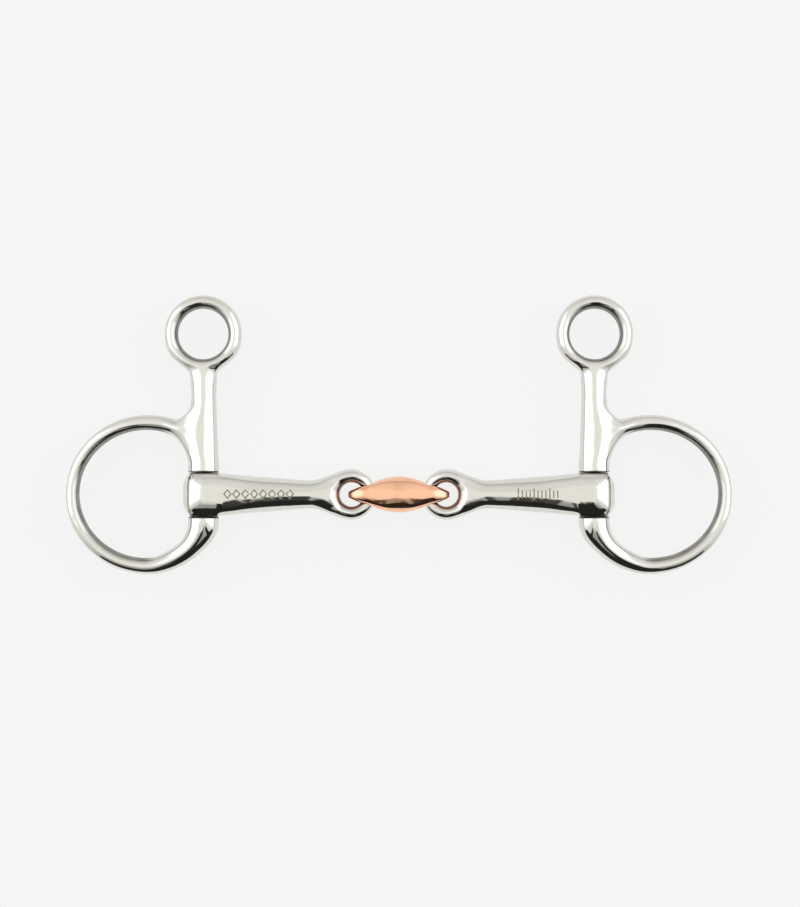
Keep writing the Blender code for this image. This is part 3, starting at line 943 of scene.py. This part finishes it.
# from the front, 0, to the back, 1, alike at the left and at the right
TENT_WALLS = [
    (0.0, grey(0.62, 0.08)),
    (0.22, grey(0.55, 0.08)),
    (0.38, grey(0.95, 0.06)),
    (0.43, grey(1.55)),
    (0.71, grey(1.60)),
    (0.78, grey(0.98, 0.05)),
    (1.0, grey(0.90, 0.09)),
]


def light_tent():
    """The tent round the bit: white boxes at both sides, grey walls, and a dark opening at the front."""
    world = bpy.data.worlds.new("light_tent")
    bpy.context.scene.world = world
    world.use_nodes = True
    nodes = Nodes(world.node_tree)
    direction = nodes.add("ShaderNodeTexCoord").outputs["Generated"]
    x, y, z = nodes.add("ShaderNodeSeparateXYZ", {0: direction}).outputs
    turn = nodes.math("ARCTAN2", y, nodes.math("ABSOLUTE", x))
    bearing = nodes.math("MULTIPLY_ADD", turn, 1 / math.pi, 0.5)
    walls = nodes.ramp(bearing, TENT_WALLS)
    # a pale roof
    from_zenith = nodes.math("ARCCOSINE", z)
    roof = nodes.smooth_step(from_zenith, math.radians(26), math.radians(12))
    light = nodes.mix(roof, walls, (*grey(1.04, 0.10), 1.0))
    # the lower part of the back wall is darker
    back = nodes.math("MULTIPLY", nodes.smooth_step(bearing, 0.74, 0.9), nodes.smooth_step(z, 0.75, 0.1))
    light = nodes.mix(nodes.math("MULTIPLY", back, 0.35), light, (*grey(0.30, 0.08), 1.0))
    # a dark lintel over the opening at the front
    forward = nodes.math("MAXIMUM", nodes.math("MULTIPLY", y, -1.0), 0.001)
    across = nodes.math("ABSOLUTE", nodes.math("DIVIDE", x, forward))
    height = nodes.math("DIVIDE", z, forward)
    lintel = nodes.math("MULTIPLY", nodes.smooth_step(across, 1.3, 0.5), nodes.smooth_step(height, 3.8, 1.2))
    light = nodes.mix(nodes.math("MULTIPLY", lintel, 0.65), light, (*grey(0.25, 0.12), 1.0))
    light = far_legs(nodes, direction, (x, y, z), light)
    # a dark edge where the tent meets the floor
    edge = nodes.math("MULTIPLY_ADD", nodes.smooth_step(bearing, 0.70, 0.85), -0.45, 0.8)
    edge = nodes.math("MULTIPLY", nodes.smooth_step(z, 0.17, 0.05), edge)
    light = nodes.mix(edge, light, (*grey(0.16, 0.08), 1.0))
    # the camera itself sees plain pale paper
    seen = nodes.add("ShaderNodeLightPath").outputs["Is Camera Ray"]
    light = nodes.mix(seen, light, (*grey(PALE), 1.0))
    background = nodes.add("ShaderNodeBackground", {"Color": light, "Strength": 1.0})
    output = nodes.add("ShaderNodeOutputWorld")
    nodes.tree.links.new(background.outputs[0], output.inputs[0])


def far_legs(nodes, direction, axes, light):
    """Lays the far legs of the camera's stand, with ragged edges, over the light of the roof and walls."""
    x, y, z = axes
    # side, inner edge, outer edge, top, how fast each widens downwards
    legs = ((-1.0, 0.035, 0.092, 0.27, 0.08), (1.0, 0.068, 0.145, 0.20, 0.30))
    leg_light = (*grey(0.05, 0.12), 1.0)
    up = nodes.math("MAXIMUM", z, 0.001)
    sideways = nodes.math("DIVIDE", x, up)
    ahead = nodes.math("DIVIDE", y, nodes.math("MULTIPLY", up, -1.0))
    ragged = nodes.math("MULTIPLY_ADD", nodes.noise(direction, 9.0, detail=3.0), 0.10, -0.05)
    sideways = nodes.math("ADD", sideways, nodes.math("MULTIPLY", ragged, 0.4))
    ahead = nodes.math("ADD", ahead, ragged)
    for side, inner, outer, top, slant in legs:
        out = nodes.math("MULTIPLY", sideways, side)
        spread = nodes.math("MULTIPLY", nodes.math("SUBTRACT", ahead, top), slant)
        past = nodes.math("SUBTRACT", out, nodes.math("MAXIMUM", spread, 0.0))
        inwards = nodes.smooth_step(out, inner - 0.006, inner + 0.006)
        outwards = nodes.smooth_step(past, outer + 0.01, outer - 0.01)
        leg = nodes.math("MULTIPLY", inwards, outwards)
        leg = nodes.math("MULTIPLY", leg, nodes.smooth_step(ahead, top, top + 0.05))
        light = nodes.mix(leg, light, leg_light)
    return light


def dark_stand():
    """A black board in front of the bit and the near legs of the camera's stand, for the steel to mirror.

    The camera doesn't see them, and they throw no shadow.
    """
    distance = 0.15
    widening = 1.04
    y = MOUTH_Y * MM - distance
    # left edge, right edge, bottom and top, in metres, of the board and of the legs
    parts = [
        (-0.23, 0.25, 0.015, 0.163),
        (-0.088, -0.045, 0.163, 0.48),
        (0.068, 0.15, 0.163, 0.52),
    ]
    corners = []
    for left, right, low, high in parts:
        corners += [(left, y, low), (right, y, low), (right * widening, y, high), (left * widening, y, high)]
    mesh = bpy.data.meshes.new("dark_stand")
    mesh.from_pydata(corners, [], [(i, i + 1, i + 2, i + 3) for i in range(0, len(corners), 4)])
    stand = bpy.data.objects.new("dark_stand", mesh)
    bpy.context.scene.collection.objects.link(stand)
    stand.visible_camera = False
    stand.visible_diffuse = False
    stand.visible_shadow = False
    material, nodes = new_material("black_cloth")
    cloth = nodes.add("ShaderNodeEmission", {"Color": (*grey(0.022, 0.15), 1.0)}).outputs[0]
    nodes.add("ShaderNodeOutputMaterial", {"Surface": cloth})
    mesh.materials.append(material)


def pale_floor():
    """A pale sheet under the bit. What a pose swings below it still shows, against the same pale light."""
    half = 3.0
    mesh = bpy.data.meshes.new("floor")
    corners = [(-half, -half, 0), (half, -half, 0), (half, half, 0), (-half, half, 0)]
    mesh.from_pydata(corners, [], [(0, 1, 2, 3)])
    floor = bpy.data.objects.new("floor", mesh)
    floor.location.z = cad_low.z
    bpy.context.scene.collection.objects.link(floor)
    material, nodes = new_material("pale_floor")
    shadowed = 0.1  # how much of the floor's light a shadow takes away
    paper = nodes.add("ShaderNodeBsdfDiffuse", {"Color": (*grey(PALE * shadowed), 1.0)}).outputs[0]
    clear = nodes.add("ShaderNodeBsdfTransparent", {"Color": (*grey(1 - shadowed), 1.0)}).outputs[0]
    looked_at = nodes.add("ShaderNodeAddShader", {0: paper, 1: clear}).outputs[0]
    mirrored = nodes.add("ShaderNodeEmission", {"Color": (*grey(PALE, 0.05), 1.0)}).outputs[0]
    seen = nodes.add("ShaderNodeLightPath").outputs["Is Camera Ray"]
    surface = nodes.add("ShaderNodeMixShader", {0: seen, 1: mirrored, 2: looked_at}).outputs[0]
    nodes.add("ShaderNodeOutputMaterial", {"Surface": surface})
    mesh.materials.append(material)


build_bit()
light_tent()
dark_stand()
pale_floor()
add_camera()
bpy.context.scene.view_settings.view_transform = "Standard"
